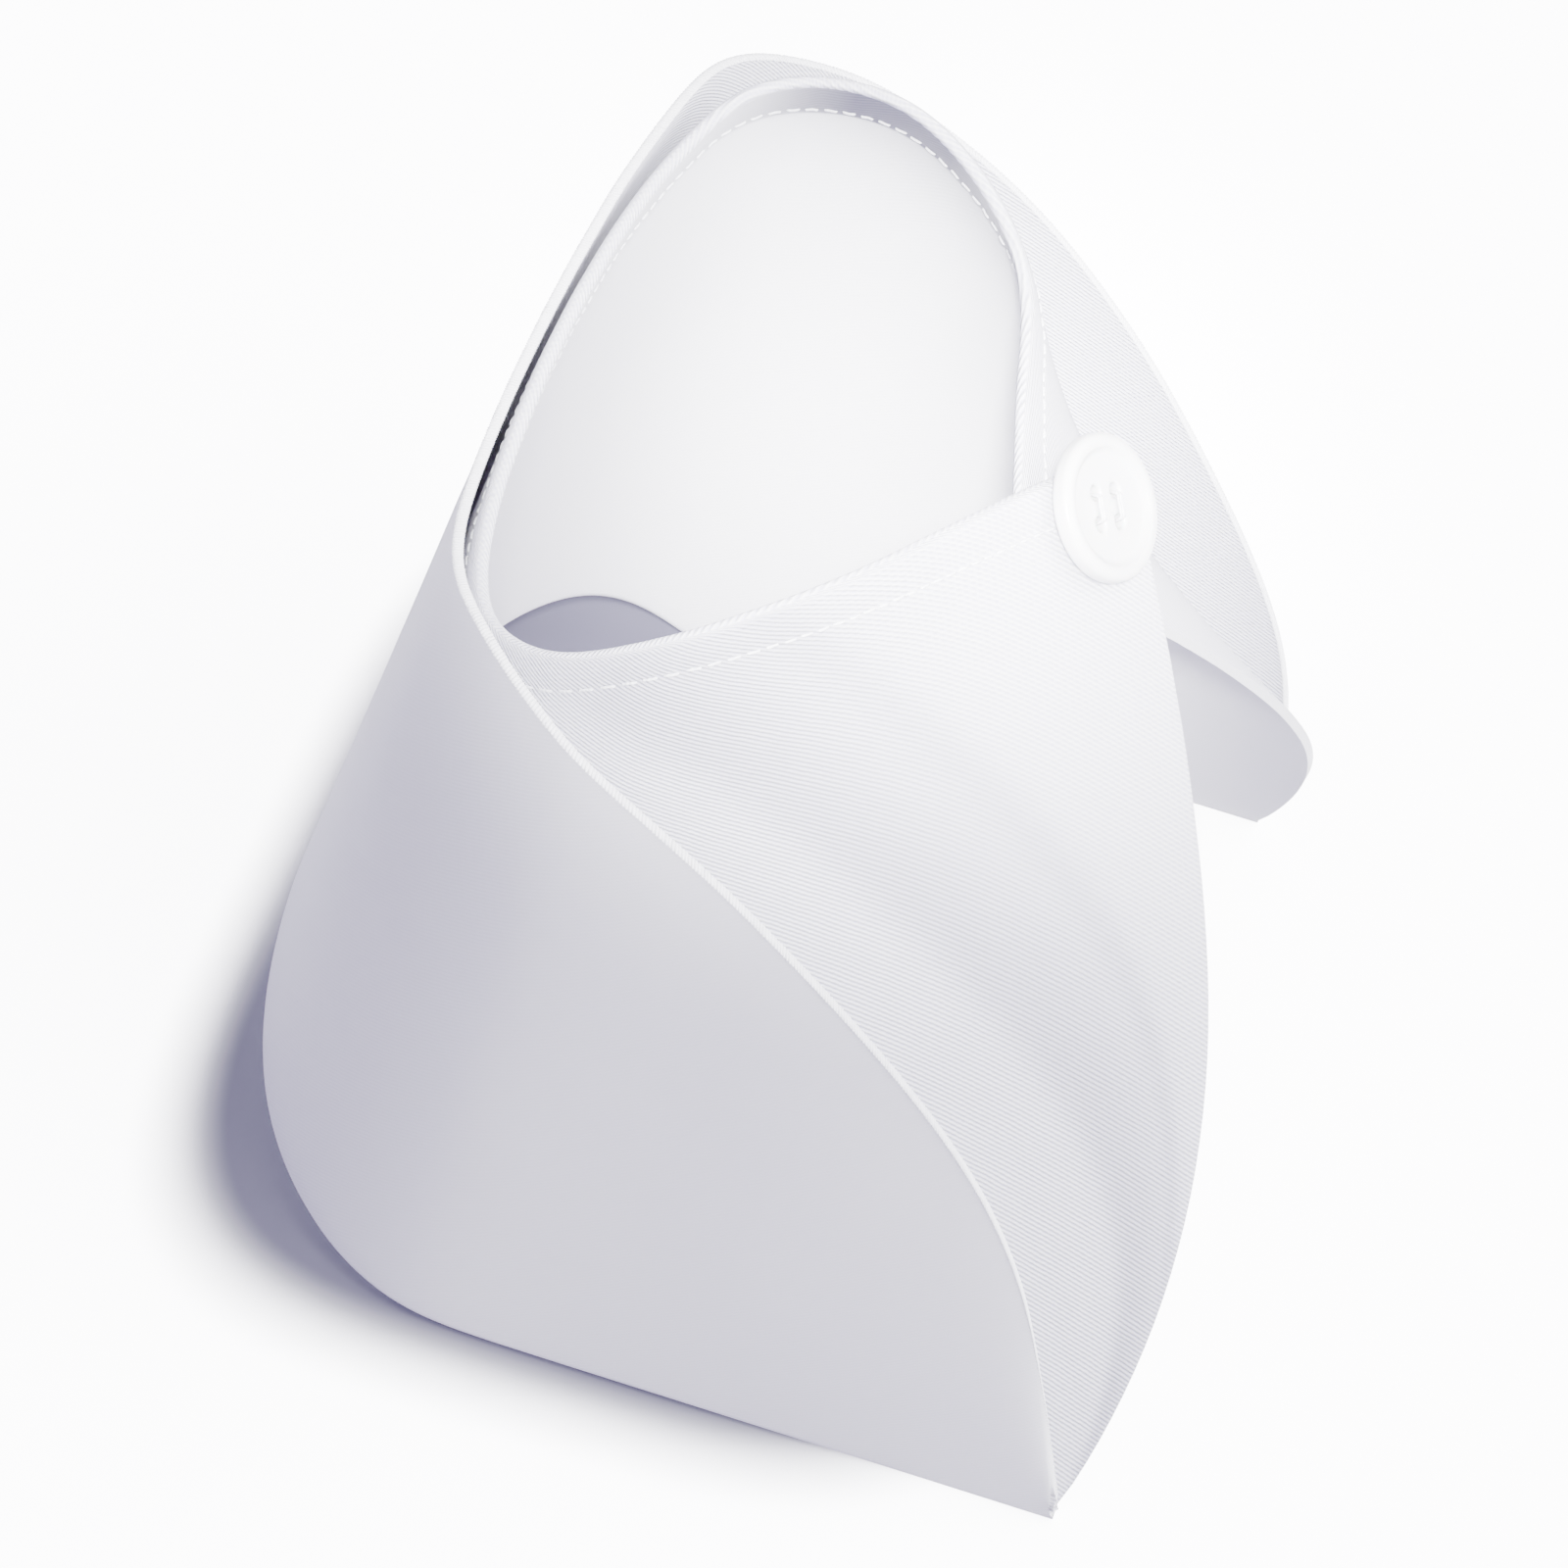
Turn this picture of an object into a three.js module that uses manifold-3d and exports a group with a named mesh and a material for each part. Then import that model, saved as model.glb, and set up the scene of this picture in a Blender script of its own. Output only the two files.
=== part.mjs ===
// Nurse cap: one stiff white sheet, folded along a pressed crease that rests on the
// surface. Inside the crease the sheet rises as the crown, a band whose ends lap at the
// back under a round button. Outside it turns up as the cuff, tall across the front and
// running out at the two tails.
// Axes: +X the wearer's left, +Y the back, +Z up. The origin lies on the surface, under
// the middle of the cap. The sections are worked out from a line through the tails.
import * as THREE from 'three';
import { mergeVertices } from 'three/addons/utils/BufferGeometryUtils.js';
import Module from 'manifold-3d';

const wasm = await Module();
wasm.setup();

// Driving sizes of the folded sheet, in millimetres
const foldWidth = 164;       // across, between the two side creases
const foldDepth = 142;       // from the front of the crease to the tails
const frontLift = 8;         // the crease's rise off the surface across the front
const crownHeight = 128;     // the crown's hem above the surface, at its sides
const cuffHeight = 124;      // the cuff's edge above the surface, at the front corners
const tailBow = 18.7;        // how far the crown's cut ends swell back, past a straight line
const crownSwell = 5;        // how far the crown's sides swell outward
const cuffSwell = 2;         // how far the cuff's sides swell outward
const lapTuck = 9;           // how far the right end tucks in under the left one
const lapDrop = 9;           // how much lower the right side of the hem runs
const tailTrail = 8;         // how much further back the right side of the cuff runs out
const cornerFlare = 5;       // how much further out the cuff's right front corner leans
const clothThickness = 1.5;
const creaseSpace = 0.6;     // between the two layers just above the crease
const seamGap = 0.3;         // between the crown's foot and the crease bead

// Driving sizes of the button and its thread, in millimetres
const buttonDiameter = 22;
const buttonThickness = 3.2;
const buttonRimWidth = 3;
const buttonDish = 1.1;      // depth of the dished middle below the rim
const buttonFromHem = 5;     // from the hem down to the button's middle
const buttonSide = 1;        // the button's middle, right of the cap's middle plane
const holeDiameter = 2.2;
const holeSpacing = 4.6;     // between neighbouring holes, centre to centre
const threadDiameter = 1.4;  // the strands through one hole
const shankDiameter = 6.5;   // thread wound between the cloth and the button
const shankHeight = 1.8;
const fitGap = 0.3;          // between the thread and what it passes or touches

// Sections of the left half, from the middle of the front to the tail. Across is a share
// of half the fold's width, and ahead a share of its depth, measured from the tails. The
// cuff's across and back say how far its edge would have moved at the crown's height.
// Up is a share of each wall's height. The rest are shares of the sizes of their names.
const sections = [
  { foldAcross: 0.000, foldAhead: 1.000, lift: 0.90, cuffAcross: 0.000, cuffBack: 0.154, cuffUp: 0.970,
    belly: 0.0, hemAcross: 0.000, hemAhead: 0.847, hemUp: 0.930, bow: 0.00, swell: 0.00 },
  { foldAcross: 0.355, foldAhead: 0.978, lift: 0.85, cuffAcross: 0.010, cuffBack: 0.136, cuffUp: 0.970,
    belly: 0.0, hemAcross: 0.355, hemAhead: 0.839, hemUp: 0.930, bow: 0.00, swell: 0.00 },
  { foldAcross: 0.645, foldAhead: 0.930, lift: 0.70, cuffAcross: 0.000, cuffBack: 0.101, cuffUp: 0.975,
    belly: 0.0, hemAcross: 0.635, hemAhead: 0.818, hemUp: 0.930, bow: 0.00, swell: 0.00 },
  { foldAcross: 0.855, foldAhead: 0.850, lift: 0.50, cuffAcross: -0.018, cuffBack: 0.074, cuffUp: 0.995,
    belly: 0.1, hemAcross: 0.825, hemAhead: 0.775, hemUp: 0.945, bow: 0.00, swell: 0.00 },
  { foldAcross: 0.965, foldAhead: 0.762, lift: 0.20, cuffAcross: -0.005, cuffBack: 0.061, cuffUp: 0.975,
    belly: 0.5, hemAcross: 0.900, hemAhead: 0.695, hemUp: 0.970, bow: 0.00, swell: 0.10 },
  { foldAcross: 1.000, foldAhead: 0.669, lift: 0.00, cuffAcross: 0.030, cuffBack: 0.043, cuffUp: 0.942,
    belly: 1.0, hemAcross: 0.865, hemAhead: 0.598, hemUp: 1.022, bow: 0.00, swell: 0.30 },
  { foldAcross: 1.000, foldAhead: 0.500, lift: 0.00, cuffAcross: 0.065, cuffBack: 0.005, cuffUp: 0.865,
    belly: 1.0, hemAcross: 0.745, hemAhead: 0.517, hemUp: 1.042, bow: 0.05, swell: 0.50 },
  { foldAcross: 1.000, foldAhead: 0.330, lift: 0.00, cuffAcross: 0.085, cuffBack: -0.024, cuffUp: 0.738,
    belly: 1.0, hemAcross: 0.550, hemAhead: 0.444, hemUp: 1.030, bow: 0.20, swell: 0.70 },
  { foldAcross: 1.000, foldAhead: 0.157, lift: 0.00, cuffAcross: 0.075, cuffBack: -0.048, cuffUp: 0.545,
    belly: 0.7, hemAcross: 0.240, hemAhead: 0.362, hemUp: 0.995, bow: 0.55, swell: 0.90 },
  { foldAcross: 1.000, foldAhead: 0.055, lift: 0.00, cuffAcross: 0.065, cuffBack: -0.092, cuffUp: 0.347,
    belly: 0.5, hemAcross: -0.010, hemAhead: 0.293, hemUp: 0.960, bow: 0.84, swell: 0.97 },
  { foldAcross: 1.000, foldAhead: 0.000, lift: 0.00, cuffAcross: 0.060, cuffBack: -0.170, cuffUp: 0.100,
    belly: 0.3, hemAcross: -0.150, hemAhead: 0.253, hemUp: 0.935, bow: 1.00, swell: 1.00 },
];

// Where the right half differs from the left, section by section: its hem drops and tucks
// in under the left end, its cuff trails further back and its crease lifts more in front
const rightHalf = [
  { tuck: 0.00, drop: 0.00, trail: 0.00, flare: 0.00, lift: 0.0 },
  { tuck: 0.00, drop: 0.00, trail: 0.00, flare: 0.00, lift: 0.5 },
  { tuck: 0.00, drop: 0.00, trail: 0.00, flare: 0.20, lift: 1.1 },
  { tuck: 0.00, drop: -0.25, trail: -0.45, flare: 1.05, lift: 1.3 },
  { tuck: 0.00, drop: -0.15, trail: -0.20, flare: 0.75, lift: 0.8 },
  { tuck: -0.10, drop: 0.35, trail: 0.00, flare: 0.50, lift: 0.0 },
  { tuck: -0.40, drop: 0.90, trail: 0.00, flare: 0.40, lift: 0.0 },
  { tuck: -0.50, drop: 1.00, trail: 0.00, flare: 0.20, lift: 0.0 },
  { tuck: 0.20, drop: 0.80, trail: -0.10, flare: 0.00, lift: 0.0 },
  { tuck: 0.75, drop: 0.60, trail: 0.45, flare: 0.00, lift: 0.0 },
  { tuck: 1.10, drop: 0.50, trail: 1.20, flare: 0.00, lift: 0.0 },
];

// How finely the sheet is divided
const stepsPerSection = 3;
const crownSteps = 8;
const cuffSteps = 7;
const creaseSegments = 5;
const buttonSides = 36;
const holeSides = 12;
const shankSides = 20;
const threadSides = 8;

const lastSection = sections.length - 1;
const halfWidth = foldWidth / 2;
const creaseRadius = (clothThickness + creaseSpace) / 2;
const outerRadius = creaseRadius + clothThickness / 2;
// The crease's lowest facet is level, so the axis sits a facet's apothem above the surface.
const creaseAxisHeight = outerRadius * Math.cos(Math.PI / creaseSegments / 2);

// Smooth curve through the values at places 0, 1, 2 ..., with no overshoot between them
function smoothThrough(values, place) {
  const count = values.length;
  const index = Math.min(Math.max(Math.floor(place), 0), count - 2);
  const step = place - index;
  const slopeAt = (i) => {
    if (i === 0) return values[1] - values[0];
    if (i === count - 1) return values[i] - values[i - 1];
    const before = values[i] - values[i - 1];
    const after = values[i + 1] - values[i];
    return before * after <= 0 ? 0 : (2 * before * after) / (before + after);
  };
  const start = slopeAt(index);
  const end = slopeAt(index + 1);
  const rise = values[index + 1] - values[index];
  return values[index] + step * start + step * step * (3 * rise - 2 * start - end)
    + step * step * step * (start + end - 2 * rise);
}

// Each column of the table, run from the right tail through the front to the left tail
const columns = {};
for (const name of Object.keys(sections[0])) {
  const side = name.endsWith('Across') ? -1 : 1;
  const left = sections.map((row) => row[name]);
  const right = sections.slice(1).reverse().map((row) => side * row[name]);
  columns[name] = [...right, ...left];
}
for (const name of Object.keys(rightHalf[0])) {
  const right = rightHalf.slice(1).reverse().map((row) => row[name]);
  columns[`right_${name}`] = [...right, ...rightHalf.map(() => 0)];
}

// Every share at a place along the sheet, from -lastSection (right tail) to lastSection
function sharesAt(place) {
  const shares = {};
  for (const name of Object.keys(columns)) {
    shares[name] = smoothThrough(columns[name], place + lastSection);
  }
  return shares;
}

function foldPoint(place) {
  const share = sharesAt(place);
  return new THREE.Vector3(
    share.foldAcross * halfWidth,
    -share.foldAhead * foldDepth,
    (share.lift + share.right_lift) * frontLift,
  );
}

// Level direction pointing out of the cap, square to the crease
function outwardAt(place) {
  const reach = 0.05;
  const before = foldPoint(Math.max(place - reach, -lastSection));
  const after = foldPoint(Math.min(place + reach, lastSection));
  const along = after.sub(before);
  return new THREE.Vector3(along.y, -along.x, 0).normalize();
}

// A wall swells most a little below its middle
function swellShape(rise) {
  return Math.sin(Math.PI * rise ** 0.9);
}

function creaseAxis(place) {
  return foldPoint(place).add(new THREE.Vector3(0, 0, creaseAxisHeight));
}

// Middle of the crown's cloth: rise runs from 0 at its foot to 1 at the hem
function crownPoint(place, rise) {
  const share = sharesAt(place);
  const outward = outwardAt(place);
  const foot = creaseAxis(place).addScaledVector(outward, -creaseRadius);
  const hem = new THREE.Vector3(
    share.hemAcross * halfWidth,
    -share.hemAhead * foldDepth,
    share.hemUp * crownHeight,
  );
  const shape = swellShape(rise);
  const point = foot.lerp(hem, rise);
  point.y += shape * share.bow * tailBow;
  point.addScaledVector(outward, shape * share.swell * crownSwell);
  point.y -= rise * rise * share.right_tuck * lapTuck;
  point.z -= rise * rise * share.right_drop * lapDrop;
  return point;
}

// Middle of the cuff's cloth: rise runs from 0 at its foot to 1 at the free edge
function cuffPoint(place, rise) {
  const share = sharesAt(place);
  const outward = outwardAt(place);
  const foot = creaseAxis(place).addScaledVector(outward, creaseRadius);
  const height = share.cuffUp * cuffHeight;
  const lean = height / crownHeight;
  const edge = foldPoint(place);
  edge.x += share.cuffAcross * halfWidth * lean - share.right_flare * cornerFlare;
  edge.y += share.cuffBack * foldDepth * lean + share.right_trail * tailTrail;
  edge.z = height;
  edge.addScaledVector(outward, creaseRadius);
  const point = foot.lerp(edge, rise);
  point.addScaledVector(outward, swellShape(rise) * share.belly * cuffSwell);
  return point;
}

// Point on the bend of the crease: turn runs from 0 inside to 1 outside
function creasePoint(place, turn, radius) {
  const outward = outwardAt(place);
  const angle = Math.PI * (1 + turn);
  return creaseAxis(place)
    .addScaledVector(outward, Math.cos(angle) * radius)
    .add(new THREE.Vector3(0, 0, Math.sin(angle) * radius));
}

// Direction square to a wall, on its outer side
function wallNormal(wall, place, rise) {
  const reach = 0.02;
  const left = wall(Math.min(place + reach, lastSection), rise);
  const right = wall(Math.max(place - reach, -lastSection), rise);
  const above = wall(place, Math.min(rise + reach, 1));
  const below = wall(place, Math.max(rise - reach, 0));
  return left.sub(right).cross(above.sub(below)).normalize();
}

// Closed shell from a grid of paired points: each ring holds the inner and the outer
// point of every step across the sheet
function shellFromRings(rings) {
  const positions = [];
  const faces = [];
  const size = rings[0].length;
  for (const ring of rings) {
    for (const point of ring) positions.push(point.x, point.y, point.z);
  }
  const corner = (ring, step) => ring * size + (step % size);
  for (let ring = 0; ring < rings.length - 1; ring += 1) {
    for (let step = 0; step < size; step += 1) {
      const a = corner(ring, step);
      const b = corner(ring, step + 1);
      const c = corner(ring + 1, step + 1);
      const d = corner(ring + 1, step);
      faces.push(a, c, b, a, d, c);
    }
  }
  // The two end rings are strips: inner points paired with outer ones
  const half = size / 2;
  for (let step = 0; step < half - 1; step += 1) {
    const last = rings.length - 1;
    const opposite = size - 1 - step;
    faces.push(corner(0, step), corner(0, opposite - 1), corner(0, opposite));
    faces.push(corner(0, step), corner(0, step + 1), corner(0, opposite - 1));
    faces.push(corner(last, step), corner(last, opposite), corner(last, opposite - 1));
    faces.push(corner(last, step), corner(last, opposite - 1), corner(last, step + 1));
  }
  const geometry = new THREE.BufferGeometry();
  geometry.setAttribute('position', new THREE.Float32BufferAttribute(positions, 3));
  geometry.setIndex(faces);
  return geometry;
}

function places() {
  const count = 2 * lastSection * stepsPerSection;
  return Array.from({ length: count + 1 }, (_, i) => i / stepsPerSection - lastSection);
}

// One ring round the cloth of a wall: up its outer face and down its inner one
function crownRing(place) {
  const outer = [];
  const inner = [];
  const outward = outwardAt(place);
  for (let step = 0; step <= crownSteps; step += 1) {
    const rise = step / crownSteps;
    const normal = step === 0 ? outward.clone() : wallNormal(crownPoint, place, rise);
    const middle = crownPoint(place, rise);
    if (step === 0) middle.z += seamGap;
    outer.push(middle.clone().addScaledVector(normal, clothThickness / 2));
    inner.push(middle.clone().addScaledVector(normal, -clothThickness / 2));
  }
  return [...outer, ...inner.reverse()];
}

function cuffRing(place) {
  const outer = [];
  const inner = [];
  for (let step = 0; step < creaseSegments; step += 1) {
    const turn = step / creaseSegments;
    outer.push(creasePoint(place, turn, outerRadius));
    inner.push(creasePoint(place, turn, outerRadius - clothThickness));
  }
  for (let step = 0; step <= cuffSteps; step += 1) {
    const rise = step / cuffSteps;
    const normal = step === 0 ? outwardAt(place) : wallNormal(cuffPoint, place, rise);
    const middle = cuffPoint(place, rise);
    outer.push(middle.clone().addScaledVector(normal, clothThickness / 2));
    inner.push(middle.clone().addScaledVector(normal, -clothThickness / 2));
  }
  return [...outer, ...inner.reverse()];
}

function cloth(colour, roughness) {
  return new THREE.MeshStandardMaterial({ color: colour, roughness, metalness: 0 });
}

function makeCrown() {
  const mesh = new THREE.Mesh(shellFromRings(places().map(crownRing)), cloth(0xf1f1f7, 0.9));
  mesh.name = 'crown';
  return mesh;
}

function makeCuff() {
  const mesh = new THREE.Mesh(shellFromRings(places().map(cuffRing)), cloth(0xeeeef5, 0.9));
  mesh.name = 'turned_up_cuff';
  return mesh;
}

// Place along the left end where its hem passes over the button's middle
function buttonPlace() {
  let inner = lastSection - 1;
  let outer = lastSection;
  for (let halving = 0; halving < 24; halving += 1) {
    const middle = (inner + outer) / 2;
    if (crownPoint(middle, 1).x > -buttonSide) inner = middle;
    else outer = middle;
  }
  return inner;
}

// Frame of the button's seat on the crown's outer face, with its second axis pointing out
function buttonSeat() {
  const place = buttonPlace();
  const height = crownPoint(place, 1).distanceTo(crownPoint(place, 0));
  const rise = 1 - buttonFromHem / height;
  const out = wallNormal(crownPoint, place, rise);
  const down = crownPoint(place, rise).sub(crownPoint(place, 1));
  const across = new THREE.Vector3().crossVectors(out, down).normalize();
  const along = new THREE.Vector3().crossVectors(across, out);
  const seat = crownPoint(place, rise).addScaledVector(out, clothThickness / 2);
  return new THREE.Matrix4().makeBasis(across, out, along).setPosition(seat);
}

function toSolid(geometry) {
  const bare = geometry.clone();
  bare.deleteAttribute('normal');
  bare.deleteAttribute('uv');
  const merged = mergeVertices(bare);
  return new wasm.Manifold(new wasm.Mesh({
    numProp: 3,
    vertProperties: new Float32Array(merged.attributes.position.array),
    triVerts: new Uint32Array(merged.index.array),
  }));
}

function toGeometry(solid) {
  const mesh = solid.getMesh();
  const geometry = new THREE.BufferGeometry();
  geometry.setAttribute('position', new THREE.BufferAttribute(mesh.vertProperties, 3));
  geometry.setIndex(new THREE.BufferAttribute(mesh.triVerts, 1));
  return geometry;
}

// Upright round bar between two heights, with its axis at x and z
function upright(diameter, low, high, x, z, sides) {
  const bar = new THREE.CylinderGeometry(diameter / 2, diameter / 2, high - low, sides);
  bar.translate(x, (low + high) / 2, z);
  return toSolid(bar);
}

// Centres of the four holes, as a list of x and z
function holeCentres() {
  const half = holeSpacing / 2;
  return [[-half, -half], [-half, half], [half, -half], [half, half]];
}

// Round button with a raised rim, a dished middle and four holes
function makeButton() {
  const radius = buttonDiameter / 2;
  const bevel = buttonThickness / 4;
  const floor = buttonThickness - buttonDish;
  const profile = [
    [0, 0],
    [radius - bevel, 0],
    [radius, bevel],
    [radius, buttonThickness - bevel],
    [radius - bevel, buttonThickness],
    [radius - buttonRimWidth + bevel, buttonThickness],
    [radius - buttonRimWidth, floor],
    [0, floor],
  ].map(([x, y]) => new THREE.Vector2(x, y + shankHeight));
  let solid = toSolid(new THREE.LatheGeometry(profile, buttonSides));
  for (const [x, z] of holeCentres()) {
    const hole = upright(holeDiameter, 0, 2 * (shankHeight + buttonThickness), x, z, holeSides);
    solid = solid.subtract(hole);
  }
  const mesh = new THREE.Mesh(toGeometry(solid), cloth(0xfafafc, 0.35));
  mesh.name = 'back_button';
  mesh.applyMatrix4(buttonSeat());
  return mesh;
}

// Thread that holds the button: a wound shank, a strand up each hole and two stitches on top
function makeThread() {
  const half = holeSpacing / 2;
  const low = shankHeight + buttonThickness - buttonDish + fitGap;
  const high = low + threadDiameter / 2;
  let solid = upright(shankDiameter, fitGap, shankHeight - fitGap, 0, 0, shankSides);
  for (const [x, z] of holeCentres()) {
    solid = solid.add(upright(threadDiameter, fitGap * 2, high, x, z, threadSides));
  }
  for (const x of [-half, half]) {
    const stitch = new THREE.BoxGeometry(threadDiameter * 0.8, high - low, holeSpacing);
    stitch.translate(x, (low + high) / 2, 0);
    solid = solid.add(toSolid(stitch));
  }
  const mesh = new THREE.Mesh(toGeometry(solid), cloth(0xf4f4f8, 0.8));
  mesh.name = 'button_thread';
  mesh.applyMatrix4(buttonSeat());
  return mesh;
}

const cap = new THREE.Group();
cap.add(makeCrown(), makeCuff(), makeButton(), makeThread());

// Set the cap over the origin, with its crease on the surface
const box = new THREE.Box3().setFromObject(cap);
cap.position.set(-(box.min.x + box.max.x) / 2, -(box.min.y + box.max.y) / 2, -box.min.z);

export default cap;
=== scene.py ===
# Nurse cap: the looks of the folded sheet, its button and its thread.
# Lengths are in millimetres, and those of the light in metres. Angles are in degrees.
import math
import random

import bpy
import numpy as np
from mathutils import Matrix, Vector, noise


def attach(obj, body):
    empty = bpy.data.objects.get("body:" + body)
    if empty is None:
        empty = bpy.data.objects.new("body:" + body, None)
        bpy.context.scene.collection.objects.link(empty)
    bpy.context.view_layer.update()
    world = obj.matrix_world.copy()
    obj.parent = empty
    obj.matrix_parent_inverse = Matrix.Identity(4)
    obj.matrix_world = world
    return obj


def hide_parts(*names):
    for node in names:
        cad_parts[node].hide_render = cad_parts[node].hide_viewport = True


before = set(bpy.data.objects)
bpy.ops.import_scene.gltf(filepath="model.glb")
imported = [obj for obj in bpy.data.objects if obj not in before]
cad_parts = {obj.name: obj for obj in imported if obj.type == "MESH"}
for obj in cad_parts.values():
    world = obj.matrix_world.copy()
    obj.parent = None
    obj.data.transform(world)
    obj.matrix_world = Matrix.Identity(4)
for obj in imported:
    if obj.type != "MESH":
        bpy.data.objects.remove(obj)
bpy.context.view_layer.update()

MM = 0.001

# Sizes of the folded sheet
fold_width = 164.0
fold_depth = 142.0
front_lift = 8.0
crown_height = 128.0
cuff_height = 124.0
tail_bow = 18.7
crown_swell = 5.0
cuff_swell = 2.0
lap_tuck = 9.0
lap_drop = 9.0
tail_trail = 8.0
corner_flare = 5.0
cloth_thickness = 1.5
crease_space = 0.6
crease_segments = 5
corner_length = 0.45          # sections over which a tail's corner is rounded
corner_cut = 0.55             # share of the corner's height that the rounding takes off
ripple_height = 0.22
broad_ripple = 38.0
fine_ripple = 15.0
ripple_fade_rows = 14
tails_behind_origin = 68.2245
fold_left_of_origin = 0.7103

# Sizes of the button and its thread
button_diameter = 22.0
button_thickness = 3.2
button_rim_width = 3.0
button_dish = 1.1
button_low_round = 1.1        # roundings of the rim: below, above, and towards the dish
button_top_round = 1.4
button_rim_round = 0.9
button_from_hem = 5.0
button_side = 1.0
hole_diameter = 2.2
hole_spacing = 4.6
shank_diameter = 6.5
shank_height = 1.8
shank_turns = 4
strand_spacing = 0.42
strand_width = 0.48
strand_steps = 14
side_strand_height = 0.5
middle_strand_height = 0.62
strand_dip = 1.6              # how far a strand's ends go down into the holes
coil_width = 0.6
coil_steps = 20

# The turned hem along the top of the crown
hem_depth = 6.4
hem_extra = 0.7               # thickness of the hem's second layer
hem_puff = 0.10
puff_from_hem = 2.6
puff_reach = 1.4
hem_curl = 2.0                # how far the far wall stands out below its hem
curl_reach = 14.0
stitch_from_hem = 5.4
stitch_pitch = 3.0
stitch_length = 2.3
stitch_width = 0.42
stitch_proud = 0.1
stitch_sink = 0.28            # how far a stitch's ends go into the cloth
stitch_pull = 0.16            # how far a stitch draws the cloth in

# The cut ends of the threads along the edge of the cuff
thread_end_pitch = 0.6
thread_end_width = 0.5

# How finely the sheet is divided
steps_per_section = 24
hem_rows = (0.0, 0.5, 1.0, 1.7, 2.6, 3.6, 4.5, 5.0, 5.4, 5.8, 6.2, 6.6, 7.4, 9.0)
crown_rows = 35
crease_rows = 10
cuff_rows = 36
cuff_edge_rows = (2.4, 1.2, 0.5, 0.0)
edge_rounding = ((0.2, 0.6), (0.5, 1.0), (0.8, 0.6))     # share of the edge's width, and bulge
edge_middle_rows = len(edge_rounding)
edge_flat_step = 0.4

# Painted shade, mixed into the cloth's colour: in the crevice along the cuff, in a streak above it for a
# shallow fold that the shape doesn't have, under the far hem, and in the grooves between the twill's ribs
shade_colour = (0.08, 0.075, 0.115, 1)
shade_blend = 0.55
groove_shade_colour = (0.54, 0.525, 0.67, 1)
crevice_shade_strength = 0.75
crevice_shade_reach = 24.0
fold_shade_strength = 0.35
fold_above_cuff = 25.0
fold_shade_width = 4.5
hem_band_shade = 2.0
gloom_shade_strength = 1.4
gloom_reach = 12.0

# The light, with its places and widths in metres. The floor's colour is painted dark in the cap's footprint
# as a painted shadow, and the floor's painted glow fades out near the cap.
room_low = (0.66, 0.585, 0.98, 1)
room_high = (0.66, 0.60, 0.94, 1)
overhead_toward = (0.07, 0.68, 0.74)
overhead_light = (14.5, 14.5, 14.5, 1)
overhead_narrowness = 4.0
painted_floor_shadow = (0.13, 0.125, 0.17, 1)
pale_start = 0.75
pale_full = 1.2
floor_glow = 9.0
glow_start = 0.9
glow_full = 1.7
under_side = -0.007
under_width = 0.192
under_depth = 0.132
under_middle = -0.012
spot_place = (0.60, 0.06, 0.645)
spot_target = (-0.070, -0.002, 0.062)
spot_angle = 9.0
spot_size = 0.04
spot_power = 420.0

# The camera, fitted to the photograph
camera_azimuth = 94.8
camera_elevation = 41.4
camera_roll = 14.0
camera_distance = 860.0
camera_target = (0.0, -65.0, 55.0)      # from the middle of the line through the tails
sensor_width = 36.0
picture_width = 1600
pixels_per_mm = 6.68          # at the target
shift_across = -52
shift_up = -14

half_width = fold_width / 2
crease_radius = (cloth_thickness + crease_space) / 2
outer_radius = crease_radius + cloth_thickness / 2
crease_axis_height = outer_radius * math.cos(math.pi / crease_segments / 2)

# Sections of the left half, from the middle of the front to the tail, as shares
sections = {
    "fold_across": (0, .355, .645, .855, .965, 1, 1, 1, 1, 1, 1),
    "fold_ahead": (1, .978, .93, .85, .762, .669, .5, .33, .157, .055, 0),
    "lift": (.9, .85, .7, .5, .2, 0, 0, 0, 0, 0, 0),
    "cuff_across": (0, .01, 0, -.018, -.005, .03, .065, .085, .075, .065, .06),
    "cuff_back": (.154, .136, .101, .074, .061, .043, .005, -.024, -.048, -.092, -.17),
    "cuff_up": (.97, .97, .975, .995, .975, .942, .865, .738, .545, .347, .1),
    "belly": (0, 0, 0, .1, .5, 1, 1, 1, .7, .5, .3),
    "hem_across": (0, .355, .635, .825, .9, .865, .745, .55, .24, -.01, -.15),
    "hem_ahead": (.847, .839, .818, .775, .695, .598, .517, .444, .362, .293, .253),
    "hem_up": (.93, .93, .93, .945, .97, 1.022, 1.042, 1.03, .995, .96, .935),
    "bow": (0, 0, 0, 0, 0, 0, .05, .2, .55, .84, 1),
    "swell": (0, 0, 0, 0, .1, .3, .5, .7, .9, .97, 1),
}
right_half = {
    "tuck": (0, 0, 0, 0, 0, -.1, -.4, -.5, .2, .75, 1.1),
    "drop": (0, 0, 0, -.25, -.15, .35, .9, 1, .8, .6, .5),
    "trail": (0, 0, 0, -.45, -.2, 0, 0, 0, -.1, .45, 1.2),
    "flare": (0, 0, .2, 1.05, .75, .5, .4, .2, 0, 0, 0),
    "lift": (0, .5, 1.1, 1.3, .8, 0, 0, 0, 0, 0, 0),
    # curl also weights the painted shade on the turned hem, and gloom weights the painted shade below the
    # far hem
    "curl": (0, .1, .2, .4, .8, 1, .8, .4, .1, 0, 0),
    "gloom": (0, 0, 0, .1, .5, .9, 1, 1, 1, .8, .5),
}
last_section = 10


# Shape of the sheet

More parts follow.
